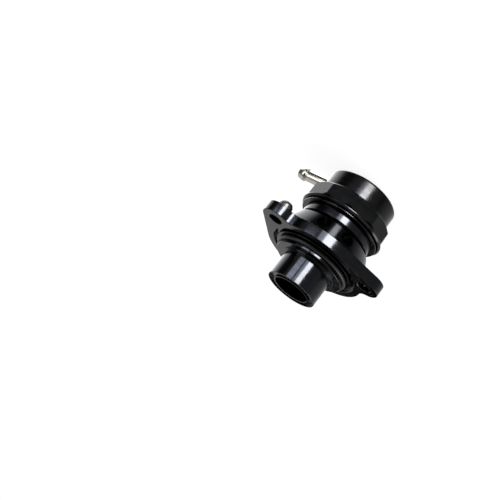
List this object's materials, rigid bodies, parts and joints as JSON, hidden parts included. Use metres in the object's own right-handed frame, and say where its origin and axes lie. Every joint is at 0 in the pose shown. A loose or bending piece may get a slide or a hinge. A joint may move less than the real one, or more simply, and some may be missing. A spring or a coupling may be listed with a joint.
{
  "type": "blow off valve",
  "caption": "Turned aluminium blow off valve: a spigot and O-ring register on an eared flange, a vented hub, a faceted screw cap with a side vacuum nipple, and a sprung piston.",
  "frame": {"origin": "centre of the cap's flat top, on which the valve stands", "axes": "+Z along the valve's axis from the cap to the spigot, +X towards the ear beside the vacuum nipple, -Y between the two ears on the side seen in the picture"},
  "size_m": [0.0747, 0.0713, 0.0689],
  "materials": {
    "body_black": "gloss black anodised over fine turning marks",
    "cap_black": "gloss black anodised",
    "clear_anodised": "satin clear anodised",
    "stainless": "polished stainless steel",
    "spring_steel": "drawn wire and plain washers",
    "rubber": "black nitrile, slightly oiled",
    "bronze_ptfe": "bronze-filled PTFE band",
    "red_fibre": "vulcanised fibre washer"
  },
  "bodies": {
    "housing": {"body": "body_black", "cap": "cap_black", "cap_seal": "rubber", "flange_seal": "rubber", "ear_insert": "stainless", "vacuum_nipple": "stainless", "nipple_washer": "red_fibre", "spring": "spring_steel", "spring_shim": "spring_steel"},
    "piston": {"piston": "clear_anodised", "guide_ring_upper": "bronze_ptfe", "guide_ring_lower": "bronze_ptfe", "piston_seal": "rubber", "nose_seal": "rubber", "nose_retainer": "clear_anodised", "nose_screw": "spring_steel", "spring_seat": "spring_steel"}
  },
  "joints": [
    {"name": "piston_slide", "type": "slide", "parent": "housing", "child": "piston", "axis": [0, 0, -1], "range_m": [0, 0.009], "stiffness_N_per_m": 4000, "springref_m": -0.005, "deforming": ["spring"]}
  ]
}
